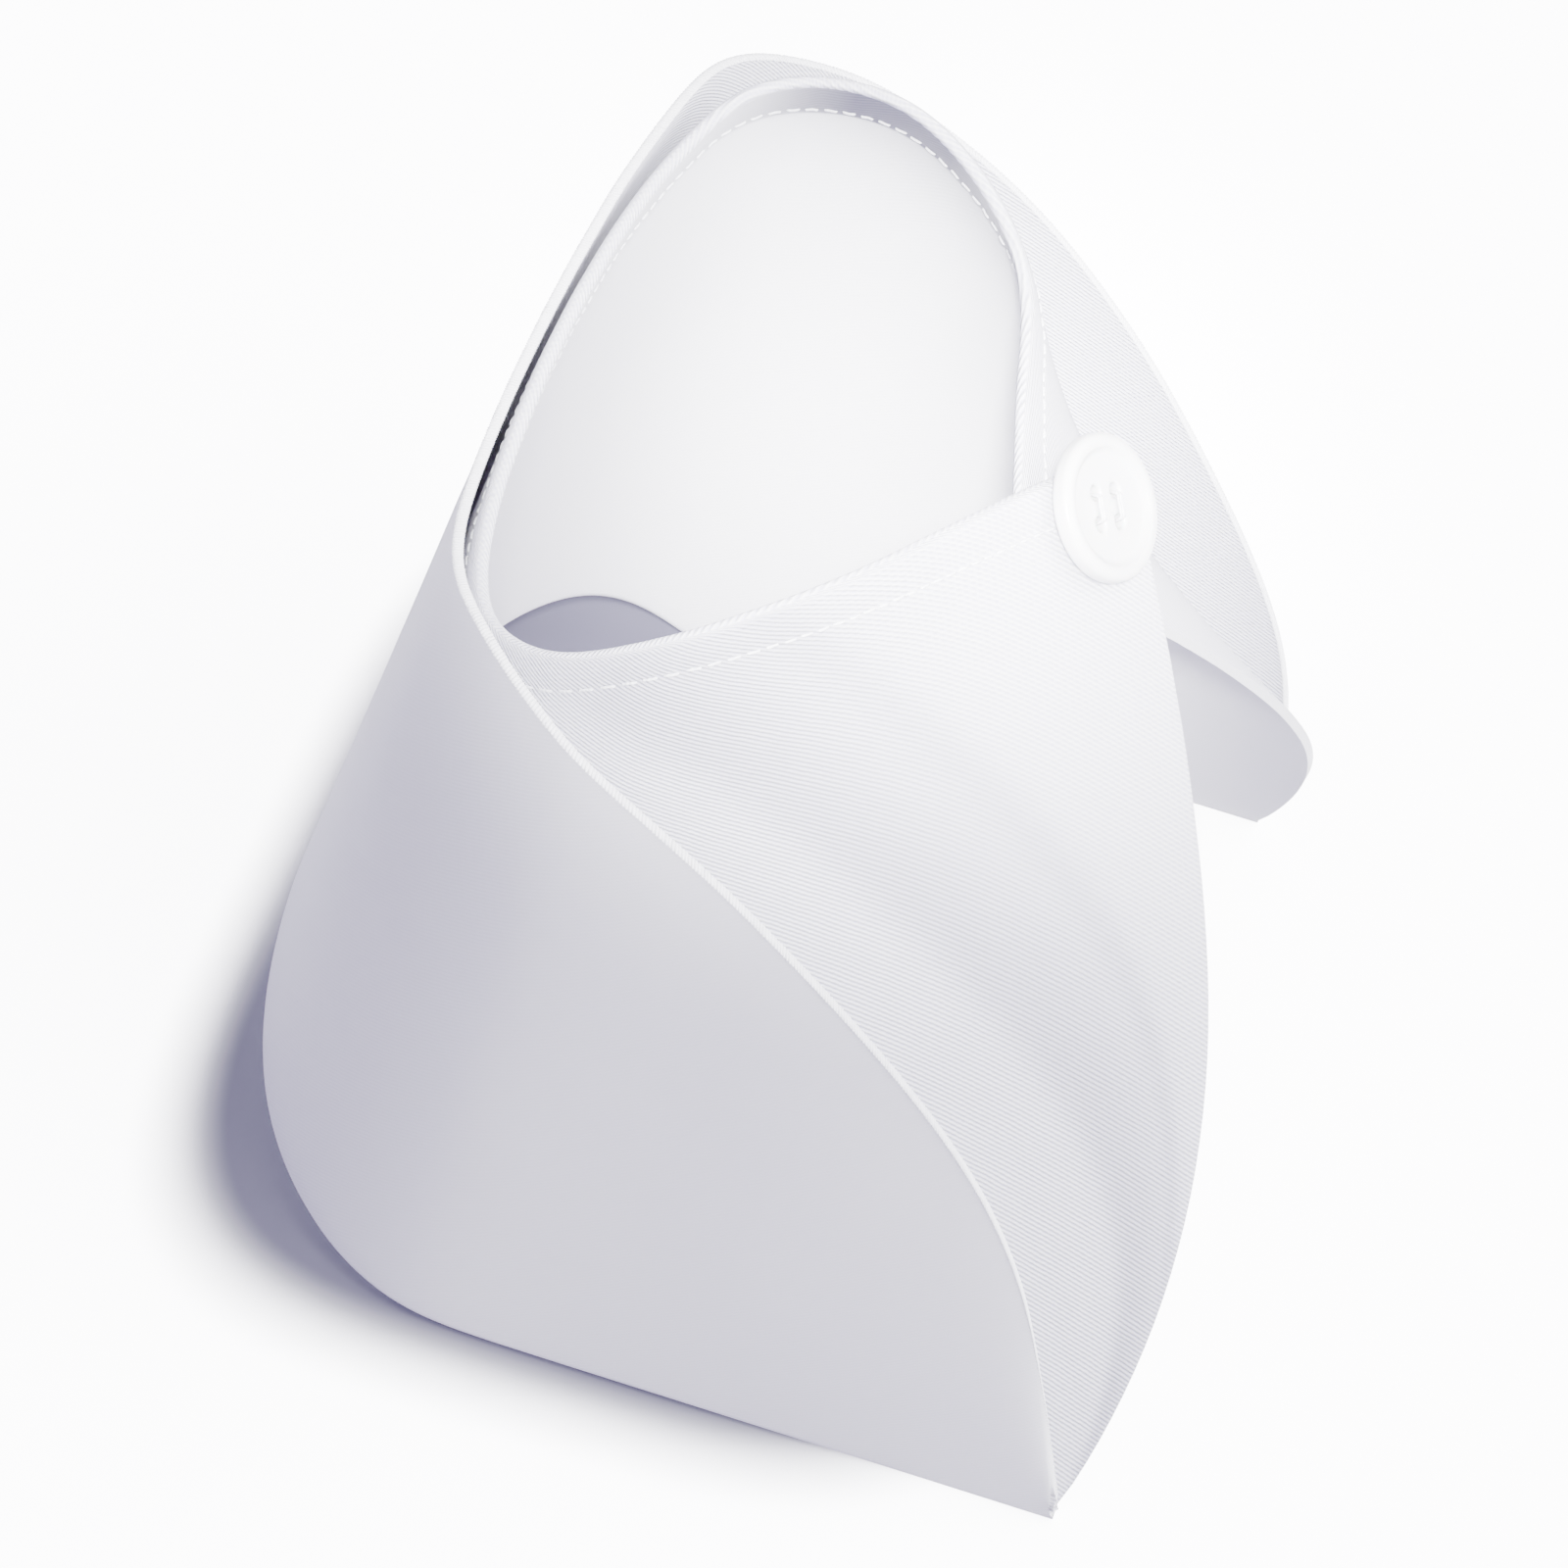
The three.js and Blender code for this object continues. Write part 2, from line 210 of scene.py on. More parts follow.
def both_halves():
    """Each column, run from the right tail through the front to the left tail."""
    result = {}
    for name, left in sections.items():
        side = -1 if name.endswith("across") else 1
        result[name] = [side * value for value in left[:0:-1]] + list(left)
    for name, right in right_half.items():
        result["right_" + name] = list(right[:0:-1]) + [0] * len(right)
    return {name: np.array(values, float) for name, values in result.items()}


columns = both_halves()


def slopes(values):
    """Slope at each value that lets a curve through them keep from overshooting."""
    rises = np.diff(values)
    result = np.empty(len(values))
    result[0] = rises[0]
    result[-1] = rises[-1]
    for i in range(1, len(values) - 1):
        before = rises[i - 1]
        after = rises[i]
        result[i] = 0 if before * after <= 0 else 2 * before * after / (before + after)
    return result


def smooth_through(values, place):
    """Value at any place of a smooth curve through the values."""
    index = np.clip(np.floor(place).astype(int), 0, len(values) - 2)
    step = place - index
    slope = slopes(values)
    start = slope[index]
    end = slope[index + 1]
    rise = values[index + 1] - values[index]
    square = step * step
    second = square * (3 * rise - 2 * start - end)
    third = square * step * (start + end - 2 * rise)
    return values[index] + step * start + second + third


def shares_at(place):
    return {name: smooth_through(values, place + last_section) for name, values in columns.items()}


def fold_point(place):
    share = shares_at(place)
    return np.stack([
        share["fold_across"] * half_width,
        -share["fold_ahead"] * fold_depth,
        (share["lift"] + share["right_lift"]) * front_lift,
    ], -1)


def unit(vectors):
    return vectors / np.linalg.norm(vectors, axis=-1, keepdims=True)


def along_at(place):
    """Level direction along the crease, towards the left tail."""
    reach = 0.05
    after = fold_point(np.minimum(place + reach, last_section))
    along = after - fold_point(np.maximum(place - reach, -last_section))
    along[..., 2] = 0
    return unit(along)


def outward_at(place):
    along = along_at(place)
    return np.stack([along[..., 1], -along[..., 0], 0 * along[..., 0]], -1)


def swell_shape(rise):
    return np.sin(math.pi * rise ** 0.9)


def crease_axis(place):
    return fold_point(place) + np.array([0, 0, crease_axis_height])


def crown_ends(place):
    """The foot and the hem of the crown at each place, without the lap's tuck."""
    share = shares_at(place)
    foot = crease_axis(place) - outward_at(place) * crease_radius
    hem = np.stack([
        share["hem_across"] * half_width,
        -share["hem_ahead"] * fold_depth,
        share["hem_up"] * crown_height,
    ], -1)
    return foot, hem


def crown_point(place, rise):
    """Middle of the crown's cloth: place is a column of values and rise one row for each."""
    share = {name: value[:, None] for name, value in shares_at(place).items()}
    foot, hem = crown_ends(place)
    outward = outward_at(place)[:, None, :]
    part = rise[..., None]
    shape = swell_shape(rise)
    point = foot[:, None, :] * (1 - part) + hem[:, None, :] * part
    point += outward * (shape * share["swell"] * crown_swell)[..., None]
    point[..., 1] += shape * share["bow"] * tail_bow - rise ** 2 * share["right_tuck"] * lap_tuck
    point[..., 2] -= rise ** 2 * share["right_drop"] * lap_drop
    return point


def cuff_ends(place):
    share = shares_at(place)
    outward = outward_at(place)
    foot = crease_axis(place) + outward * crease_radius
    past = np.clip((np.abs(place) - last_section + corner_length) / corner_length, 0, 1)
    rounded = 1 - corner_cut * (1 - np.sqrt(1 - past ** 2))
    height = share["cuff_up"] * cuff_height * rounded
    lean = height / crown_height
    edge = fold_point(place)
    edge[..., 0] += share["cuff_across"] * half_width * lean - share["right_flare"] * corner_flare
    edge[..., 1] += share["cuff_back"] * fold_depth * lean
    edge[..., 1] += share["right_trail"] * tail_trail * rounded ** 2
    edge[..., 2] = height
    return foot, edge + outward * crease_radius


def cuff_point(place, rise):
    share = shares_at(place)
    foot, edge = cuff_ends(place)
    outward = outward_at(place)[:, None, :]
    part = rise[..., None]
    point = foot[:, None, :] * (1 - part) + edge[:, None, :] * part
    return point + outward * (swell_shape(rise) * share["belly"][:, None] * cuff_swell)[..., None]


def crease_point(place, turn, radius):
    angle = math.pi * (1 + turn)
    outward = outward_at(place)[:, None, :]
    up = np.array([0.0, 0.0, 1.0])
    bend = outward * (np.cos(angle) * radius)[..., None] + up * (np.sin(angle) * radius)[..., None]
    return crease_axis(place)[:, None, :] + bend


def to_frame(points):
    """Millimetres from the middle of the line through the tails, as metres from the origin."""
    moved = np.array(points, float)
    moved[..., 0] += fold_left_of_origin
    moved[..., 1] += tails_behind_origin
    return moved * MM


def matrix_of(first, second, third, place):
    """The matrix that turns the axes to these three directions and moves them to the place."""
    matrix = Matrix.Identity(4)
    for row in range(3):
        matrix[row][0] = first[row]
        matrix[row][1] = second[row]
        matrix[row][2] = third[row]
        matrix[row][3] = place[row]
    return matrix


# Meshes

def add_mesh(name, vertices, faces, materials=(), face_materials=None, smooth=True):
    mesh = bpy.data.meshes.new(name)
    mesh.from_pydata([tuple(v) for v in vertices], [], [tuple(f) for f in faces])
    piece = bpy.data.objects.new(name, mesh)
    bpy.context.scene.collection.objects.link(piece)
    for material in materials:
        mesh.materials.append(material)
    if face_materials is not None:
        mesh.polygons.foreach_set("material_index", face_materials)
    mesh.polygons.foreach_set("use_smooth", [smooth] * len(mesh.polygons))
    mesh.update()
    return piece


def tube_mesh(paths, radius, sides, vertices, faces):
    """Round bars with domed ends along each path, added to the lists."""
    for path in paths:
        points = [Vector(p) for p in path]
        start = len(vertices)
        count = len(points)
        side = None
        for i, point in enumerate(points):
            ahead = points[min(i + 1, count - 1)]
            behind = points[max(i - 1, 0)]
            along = (ahead - behind).normalized()
            if side is None:
                side = along.orthogonal().normalized()
            side = (side - along * side.dot(along)).normalized()
            other = along.cross(side)
            at_end = i in (0, count - 1)
            width = radius * (0.45 if at_end else 1.0)
            for k in range(sides):
                angle = 2 * math.pi * k / sides
                vertices.append(point + (side * math.cos(angle) + other * math.sin(angle)) * width)
        for i in range(count - 1):
            for k in range(sides):
                a = start + i * sides + k
                b = start + i * sides + (k + 1) % sides
                faces.append((a, b, b + sides, a + sides))
        faces.append(tuple(start + k for k in reversed(range(sides))))
        faces.append(tuple(start + (count - 1) * sides + k for k in range(sides)))


# Materials

def add_node(tree, kind, **settings):
    """A node with its own settings, and its inputs by number: a value or an output to link."""
    node = tree.nodes.new(kind)
    inputs = settings.pop("inputs", {})
    for name, value in settings.items():
        setattr(node, name, value)
    for key, value in inputs.items():
        if isinstance(value, bpy.types.NodeSocket):
            tree.links.new(value, node.inputs[key])
        else:
            node.inputs[key].default_value = value
    return node


def new_material(name):
    """A material with its nodes, its shader and the place on the piece."""
    material = bpy.data.materials.new(name)
    material.use_nodes = True
    tree = material.node_tree
    tree.nodes.clear()
    output = tree.nodes.new("ShaderNodeOutputMaterial")
    shader = tree.nodes.new("ShaderNodeBsdfPrincipled")
    tree.links.new(shader.outputs["BSDF"], output.inputs["Surface"])
    place = add_node(tree, "ShaderNodeTexCoord").outputs["Object"]
    return material, tree, shader, place


def math_of(tree, operation, first, second=0.0):
    node = add_node(tree, "ShaderNodeMath", operation=operation, inputs={0: first, 1: second})
    return node.outputs[0]


def plus(tree, first, second):
    return math_of(tree, "ADD", first, second)


def times(tree, first, second):
    return math_of(tree, "MULTIPLY", first, second)


def noise_of(tree, place, scale, detail=2.0, roughness=0.5):
    node = add_node(tree, "ShaderNodeTexNoise",
                    inputs={"Vector": place, "Scale": scale, "Detail": detail, "Roughness": roughness})
    return node.outputs["Fac"]


def blend_of(tree, factor, first, second):
    node = add_node(tree, "ShaderNodeMix", data_type="RGBA", inputs={0: factor, 6: first, 7: second})
    return node.outputs[2]


def smooth_range(tree, value, start, end, top):
    """Rises smoothly from 0 to the top while the value goes from the start to the end."""
    node = add_node(tree, "ShaderNodeMapRange", interpolation_type="SMOOTHSTEP",
                    inputs={0: value, 1: start, 2: end, 3: 0.0, 4: top})
    return node.outputs[0]


def paint(tree, shader, colour, grain, roughness, spread):
    """Links the colour, and a roughness that rises with the grain by the spread."""
    tree.links.new(colour, shader.inputs["Base Color"])
    tree.links.new(plus(tree, times(tree, grain, spread), roughness), shader.inputs["Roughness"])


def emboss(tree, shader, height, depth, strength):
    """Links a fine relief, with its depth in millimetres."""
    bump = add_node(tree, "ShaderNodeBump",
                    inputs={"Strength": strength, "Distance": depth * MM, "Height": height})
    tree.links.new(bump.outputs[0], shader.inputs["Normal"])


def set_inputs(shader, values):
    for name, value in values.items():
        shader.inputs[name].default_value = value


def rib_height(tree, pitch, turn, thread_pitch):
    """Height of a twill's slanting ribs, from 0 to 1, with the threads that cross them."""
    flat = add_node(tree, "ShaderNodeUVMap", uv_map="flat_sheet").outputs[0]
    parts = add_node(tree, "ShaderNodeSeparateXYZ", inputs={0: flat})
    u = parts.outputs[0]
    v = parts.outputs[1]
    wander = noise_of(tree, flat, 220.0, 3.0)
    along = math.cos(math.radians(turn))
    across = math.sin(math.radians(turn))
    run = plus(tree, times(tree, u, along), times(tree, v, across))
    step = math_of(tree, "SUBTRACT", times(tree, v, along), times(tree, u, across))
    rib = times(tree, step, 2 * math.pi / (pitch * MM))
    rib = plus(tree, rib, times(tree, wander, 3.0))
    wave = math_of(tree, "SINE", rib)
    crossing = plus(tree, times(tree, run, 2 * math.pi / (thread_pitch * MM)), times(tree, rib, 0.5))
    cross = math_of(tree, "SINE", crossing)
    height = plus(tree, times(tree, wave, 0.38), times(tree, cross, 0.12))
    return plus(tree, height, 0.5)


def cloth_material(name, pitch, turn, thread_pitch, relief, rib_shade):
    material, tree, shader, place = new_material(name)
    ribs = rib_height(tree, pitch, turn, thread_pitch)
    cloud = noise_of(tree, place, 26.0, 4.0)
    lint = noise_of(tree, place, 900.0, 3.0, 0.7)
    base = blend_of(tree, cloud, (0.90, 0.90, 0.92, 1), (0.94, 0.94, 0.95, 1))
    # Painted shade: the crevice attribute darkens the base colour towards the shade colour.
    crevice = add_node(tree, "ShaderNodeAttribute", attribute_name="crevice").outputs["Fac"]
    base = blend_of(tree, times(tree, crevice, shade_blend), base, shade_colour)
    # Painted shade in the grooves between the ribs: the colour turns towards the groove shade colour where
    # the ribs are low.
    groove = times(tree, math_of(tree, "SUBTRACT", 1.0, ribs), rib_shade)
    paint(tree, shader, blend_of(tree, groove, base, groove_shade_colour), lint, 0.78, 0.15)
    emboss(tree, shader, plus(tree, ribs, times(tree, lint, 0.35)), relief, 0.9)
    set_inputs(shader, {
        "Subsurface Weight": 0.3,
        "Subsurface Radius": (1.0, 1.0, 1.1),
        "Subsurface Scale": 0.002,
        "Sheen Weight": 0.15,
        "Sheen Roughness": 0.5,
        "Specular IOR Level": 0.2,
    })
    return material


def cut_edge_material():
    material, tree, shader, place = new_material("cut_edge_threads")
    fine = noise_of(tree, place, 1500.0, 3.0, 0.7)
    coarse = noise_of(tree, place, 300.0, 2.0)
    tint = blend_of(tree, coarse, (0.90, 0.90, 0.92, 1), (0.95, 0.95, 0.955, 1))
    paint(tree, shader, tint, fine, 0.88, 0.1)
    emboss(tree, shader, fine, 0.2, 0.7)
    set_inputs(shader, {"Sheen Weight": 0.4})
    return material


def thread_material():
    material, tree, shader, place = new_material("sewing_thread_twist")
    twist = add_node(tree, "ShaderNodeTexWave", bands_direction="DIAGONAL",
                     inputs={"Vector": place, "Scale": 900.0, "Distortion": 1.5, "Detail": 2.0})
    ply = twist.outputs["Fac"]
    tint = blend_of(tree, ply, (0.78, 0.78, 0.81, 1), (0.90, 0.90, 0.91, 1))
    paint(tree, shader, tint, ply, 0.55, 0.2)
    emboss(tree, shader, ply, 0.1, 0.5)
    set_inputs(shader, {"Sheen Weight": 0.3})
    return material


def button_material():
    material, tree, shader, place = new_material("button_moulded_plastic")
    swirl = noise_of(tree, place, 90.0, 3.0)
    scuff = noise_of(tree, place, 700.0, 4.0, 0.65)
    tint = blend_of(tree, swirl, (0.84, 0.84, 0.85, 1), (0.90, 0.90, 0.89, 1))
    paint(tree, shader, tint, scuff, 0.26, 0.18)
    emboss(tree, shader, scuff, 0.2, 0.15)
    set_inputs(shader, {
        "Coat Weight": 0.35,
        "Coat Roughness": 0.15,
        "Subsurface Weight": 0.1,
        "Subsurface Scale": 0.002,
    })
    return material


def out_from_middle(tree, value, middle, width):
    """How far out a place of the floor is in one direction: 1 at the footprint's side."""
    offset = math_of(tree, "SUBTRACT", value, middle)
    return math_of(tree, "POWER", math_of(tree, "DIVIDE", offset, width / 2), 4.0)


def floor_material():
    material, tree, shader, place = new_material("pale_floor")
    cloud = noise_of(tree, place, 3.0, 3.0)
    parts = add_node(tree, "ShaderNodeSeparateXYZ", inputs={0: place})
    across = out_from_middle(tree, parts.outputs[0], under_side, under_width)
    ahead = out_from_middle(tree, parts.outputs[1], under_middle, under_depth)
    away = plus(tree, across, ahead)
    # Painted shadow: the floor's colour is dark inside the cap's footprint and turns pale beyond it.
    beyond = smooth_range(tree, away, pale_start, pale_full, 1.0)
    pale = blend_of(tree, cloud, (0.90, 0.90, 0.91, 1), (0.92, 0.92, 0.925, 1))
    paint(tree, shader, blend_of(tree, beyond, painted_floor_shadow, pale), cloud, 0.75, 0.1)
    # Painted light: the floor glows away from the cap, and the glow fades out near it, which leaves painted
    # shade round the footprint.
    glow = smooth_range(tree, away, glow_start, glow_full, floor_glow)
    tree.links.new(glow, shader.inputs["Emission Strength"])
    set_inputs(shader, {"Specular IOR Level": 0.1, "Emission Color": (1.0, 1.0, 1.0, 1)})
    return material


# The sheet

def sheet_rows(places):
    """Middle of the cloth at every place and row, from the hem over the crease to the edge."""
    foot, hem = crown_ends(places)
    height = np.linalg.norm(hem - foot, axis=-1)[:, None]
    near_hem = 1 - np.array(hem_rows)[None, :] / height
    low = near_hem[:, -1:]
    down = np.linspace(1, 0, crown_rows + 1)[None, 1:]
    crown = crown_point(places, np.concatenate([near_hem, low * down], 1))
    turns = np.linspace(0, 1, crease_rows + 1)[None, 1:-1] + 0 * height
    crease = crease_point(places, turns, np.full(turns.shape, crease_radius))
    foot, edge = cuff_ends(places)
    rise_length = np.linalg.norm(edge - foot, axis=-1)[:, None]
    near_edge = 1 - np.array(cuff_edge_rows)[None, :] / rise_length
    up = np.linspace(0, 1, cuff_rows + 1)[None, :-1]
    cuff = cuff_point(places, np.concatenate([near_edge[:, :1] * up, near_edge], 1))
    return np.concatenate([crown, crease, cuff], 1)


def grid_normals(grid):
    """Direction square to the sheet, on the face that both walls turn to each other."""
    along = np.gradient(grid, axis=0)
    down = np.gradient(grid, axis=1)
    return unit(np.cross(down, along))


def flat_lengths(places, grid):
    """Place of every point on the sheet laid flat, in millimetres."""
    along = along_at(places)
    axis = crease_axis(places)
    steps = np.linalg.norm(np.diff(axis, axis=0), axis=-1)
    run = np.concatenate([[0], np.cumsum(steps)])
    offset = ((grid - axis[:, None, :]) * along[:, None, :]).sum(-1)
    reach = np.linalg.norm(np.diff(grid, axis=1), axis=-1)
    skew = np.diff(offset, axis=1)
    straight = np.sqrt(np.maximum(reach ** 2 - skew ** 2, 0))
    depth = np.concatenate([np.zeros((len(places), 1)), np.cumsum(straight, 1)], 1)
    crease_row = len(hem_rows) + crown_rows + crease_rows // 2
    depth = depth - depth[:, crease_row:crease_row + 1]
    return run[:, None] + offset, depth


def smooth_along(grid):
    """Evens out the bends between the sections of the table, along the sheet."""
    reach = int(0.9 * steps_per_section)
    weights = np.exp(-0.5 * (np.arange(-reach, reach + 1) / (0.36 * steps_per_section)) ** 2)
    weights /= weights.sum()
    before = 2 * grid[:1] - grid[reach:0:-1]
    after = 2 * grid[-1:] - grid[-2:-reach - 2:-1]
    padded = np.concatenate([before, grid, after])
    return sum(w * padded[k:k + len(grid)] for k, w in enumerate(weights))


def curl_shift(places, from_hem):
    """How far the crown stands out below its hem where the hem curls in over the hollow."""
    rise = np.clip(from_hem / hem_depth, 0, 1)
    fall = np.exp(-(np.maximum(from_hem - hem_depth, 0) / curl_reach) ** 2)
    return hem_curl * shares_at(places)["right_curl"][:, None] * (rise * fall)[None, :]


def ripples(grid, crown_count, cuff_start):
    """Slight unevenness of the stiff cloth, none at the crease."""
    row = np.arange(grid.shape[1])
    crown_fade = np.clip((crown_count - 4 - row) / ripple_fade_rows, 0, 1)
    cuff_fade = np.clip((row - cuff_start - 3) / ripple_fade_rows, 0, 1)
    wave = np.empty(grid.shape[:2])
    for i in range(grid.shape[0]):
        for j in range(grid.shape[1]):
            point = Vector(grid[i, j])
            wave[i, j] = noise.noise(point / broad_ripple) + 0.4 * noise.noise(point / fine_ripple)
    return wave * (crown_fade + cuff_fade)[None, :] * ripple_height


def distance_from_hem(grid, crown_count):
    """Distance of every row below the hem, at the middle of the front, and a far one for the cuff."""
    from_hem = np.full(grid.shape[1], 99.0)
    from_hem[:len(hem_rows)] = hem_rows
    steps = np.linalg.norm(np.diff(grid[last_section * steps_per_section], axis=0), axis=-1)
    from_hem[len(hem_rows):crown_count] = np.cumsum(steps)[len(hem_rows) - 1:crown_count - 1]
    return from_hem


def face_distances(run, from_hem):
    """Distance of the two faces from the middle of the cloth: the hem is a second layer
    turned to the inside, drawn in along its stitches."""
    second = hem_extra * np.clip((hem_depth + 0.2 - from_hem) / 0.4, 0, 1)
    pull = stitch_pull * np.exp(-((from_hem - stitch_from_hem) / 0.5) ** 2)
    puff = hem_puff * np.exp(-((from_hem - puff_from_hem) / puff_reach) ** 2)
    beat = 0.5 + 0.5 * np.cos(2 * math.pi * run[:, :1] / stitch_pitch)
    face = cloth_thickness / 2 - pull[None, :] * beat + puff[None, :]
    back = cloth_thickness / 2 + second[None, :] - pull[None, :] * beat + puff[None, :]
    return face, back


def outer_shade(grid, crown_count):
    """Painted shade on the crown's outer face: in the crevice above the cuff's edge, and in a streak for a
    shallow fold.
    It ends a little below the edge, and fades out where the hem comes down to the edge."""
    above = grid[..., 2] - grid[:, -1:, 2]
    shade = crevice_shade_strength * np.exp(-(np.maximum(above, 0) / crevice_shade_reach) ** 2)
    shade += fold_shade_strength * np.exp(-((above - fold_above_cuff) / fold_shade_width) ** 2)
    shade *= 1 / (1 + np.exp(-(above + 3) / 1.5))
    shade *= np.clip(above[:, :1] / 10, 0, 1)
    shade[:, crown_count:] = 0
    return shade


def inner_shade(places, from_hem):
    """Painted shade on the inner face: on the turned hem, and fading below it."""
    share = {name: value[:, None] for name, value in shares_at(places).items()}
    band = 1 / (1 + np.exp((from_hem - hem_depth - 0.2) / 0.3))
    gloom = np.exp(-(from_hem / gloom_reach) ** 2)
    return np.maximum(hem_band_shade * share["right_curl"] * band, gloom_shade_strength * share["right_gloom"] * gloom)


def make_sheet():
    """The sheet's middle, its place when flat, its two faces and their shade."""
    count = 2 * last_section * steps_per_section + 1
    places = np.linspace(-last_section, last_section, count)
    grid = smooth_along(sheet_rows(places))
    crown_count = len(hem_rows) + crown_rows
    cuff_start = crown_count + crease_rows - 1
    normals = grid_normals(grid)
    grid = grid + normals * ripples(grid, crown_count, cuff_start)[..., None]
    from_hem = distance_from_hem(grid, crown_count)
    grid = grid + normals * curl_shift(places, from_hem)[..., None]
    normals = grid_normals(grid)
    run, depth = flat_lengths(places, grid)
    face, back = face_distances(run, from_hem)
    back_points = grid - normals * back[..., None]
    back_points[..., 2] = np.maximum(back_points[..., 2], 0)
    return {
        "grid": grid,
        "run": run,
        "depth": depth,
        "face": grid + normals * face[..., None],
        "back": back_points,
        "face_shade": outer_shade(grid, crown_count),
        "back_shade": inner_shade(places, from_hem),
    }


def edge_points(face_row, back_row, away, bulge, rough, seed):
    """Rows of points round an edge, from the face to the back."""
    maker = random.Random(seed)
    rows = []
    for share, reach in edge_rounding:
        middle = face_row * (1 - share) + back_row * share
        shift = np.array([reach * bulge + maker.uniform(-rough, rough) for _ in range(len(face_row))])
        rows.append(middle + away * shift[:, None])
    return rows


def shell_points(sheet):
    """Columns of points round the sheet: its face, the cut edge, its back and the hem's edge."""
    grid = sheet["grid"]
    face = sheet["face"]
    back = sheet["back"]
    up_from_hem = unit(grid[:, 0] - grid[:, 1])
    past_edge = unit(grid[:, -1] - grid[:, -2])
    hem_edge = edge_points(back[:, 0], face[:, 0], up_from_hem, 0.75, 0.0, 1)
    cut_edge = edge_points(face[:, -1], back[:, -1], past_edge, 0.12, 0.08, 2)
    points = np.concatenate([face, np.stack(cut_edge, 1), back[:, ::-1], np.stack(hem_edge, 1)], 1)
    points[..., 2] = np.maximum(points[..., 2], 0)
    return points


def round_sheet(values):
    """The values of the sheet's rows in the order of the points round it."""
    middle = edge_middle_rows
    return np.concatenate([values, values[:, -1:].repeat(middle, 1), values[:, ::-1],
                           values[:, :1].repeat(middle, 1)], 1)


def shell_flat(sheet):
    """Place of each of those points on the flat sheet."""
    u = round_sheet(sheet["run"])
    v = round_sheet(sheet["depth"])
    rows = sheet["run"].shape[1]
    for k in range(edge_middle_rows):
        v[:, rows + k] += edge_flat_step * (k + 1)
        v[:, 2 * rows + edge_middle_rows + k] -= edge_flat_step * (k + 1)
    return np.stack([u, v], -1)


def shell_faces(rings, rows):
    """Faces of the closed shell, and for each 0 on the face, 1 on the back and 2 on a cut edge."""
    size = 2 * (rows + edge_middle_rows)
    cut_start = rows - 1
    back_start = rows + edge_middle_rows
    back_end = back_start + rows - 1
    faces = []
    kinds = []
    for i in range(rings - 1):
        for j in range(size):
            after = (j + 1) % size
            faces.append((i * size + j, i * size + after, (i + 1) * size + after, (i + 1) * size + j))
            if cut_start <= j < back_start:
                kinds.append(2)
            elif j < cut_start or j >= back_end:
                kinds.append(0)
            else:
                kinds.append(1)
    for ring, turned in ((0, False), (rings - 1, True)):
        base = ring * size
        ends = []
        for j in range(rows - 1):
            other = back_start + rows - 1 - j
            ends.append((base + j, base + j + 1, base + other - 1, base + other))
        ends.append(tuple(base + cut_start + k for k in range(edge_middle_rows + 2)))
        ends.append(tuple(base + (back_end + k) % size for k in range(edge_middle_rows + 2)))
        for face in ends:
            faces.append(face if turned else tuple(reversed(face)))
            kinds.append(2)
    return faces, kinds


def make_cap_cloth(sheet, face_material, back_material, edge_material):
    rings, rows = sheet["grid"].shape[:2]
    points = shell_points(sheet)
    faces, kinds = shell_faces(rings, rows)
    piece = add_mesh("cap_cloth", to_frame(points).reshape(-1, 3), faces,
                     (face_material, back_material, edge_material), kinds)
    mesh = piece.data
    layer = mesh.uv_layers.new(name="flat_sheet")
    corners = np.empty(len(mesh.loops), int)
    mesh.loops.foreach_get("vertex_index", corners)
    flat = shell_flat(sheet).reshape(-1, 2)[corners] * MM
    layer.data.foreach_set("uv", flat.reshape(-1))
    # Painted shade for every point: along the crevice and the fold streak on the face, and on and below the
    # hem on the back.
    shades = np.zeros(points.shape[:2])
    back_start = rows + edge_middle_rows
    shades[:, :rows] = sheet["face_shade"]
    shades[:, back_start:back_start + rows] = sheet["back_shade"][:, ::-1]
    crevice = mesh.attributes.new("crevice", "FLOAT", "POINT")
    crevice.data.foreach_set("value", shades.reshape(-1))
    mesh.set_sharp_from_angle(angle=math.radians(50))
    return piece


def distance_along(line):
    return np.concatenate([[0], np.cumsum(np.linalg.norm(np.diff(line, axis=0), axis=-1))])


def value_at(values, run, at):
    """A point or direction between those of a line, at a distance along it."""
    return np.array([np.interp(at, run, values[:, k]) for k in range(3)])


def make_hem_stitches(sheet, material):
    """Lockstitches through the hem, on its outer and its inner face."""
    row = hem_rows.index(stitch_from_hem)
    face_line = sheet["face"][:, row]
    back_line = sheet["back"][:, row]
    outward = unit(face_line - back_line)
    vertices = []
    faces = []
    maker = random.Random(5)
    for line, normals in ((face_line, outward), (back_line, -outward)):
        run = distance_along(line)
        paths = []
        for centre in np.arange(2.5, run[-1] - 2, stitch_pitch):
            middle = centre + maker.uniform(-0.08, 0.08)
            path = []
            for share in (-0.5, -0.36, -0.12, 0.12, 0.36, 0.5):
                at = middle + share * stitch_length
                height = -stitch_sink if abs(share) == 0.5 else stitch_proud
                path.append(to_frame(value_at(line, run, at) + value_at(normals, run, at) * height))
            paths.append(path)
        tube_mesh(paths, stitch_width / 2 * MM, 8, vertices, faces)
    return add_mesh("hem_stitches", vertices, faces, (material,))


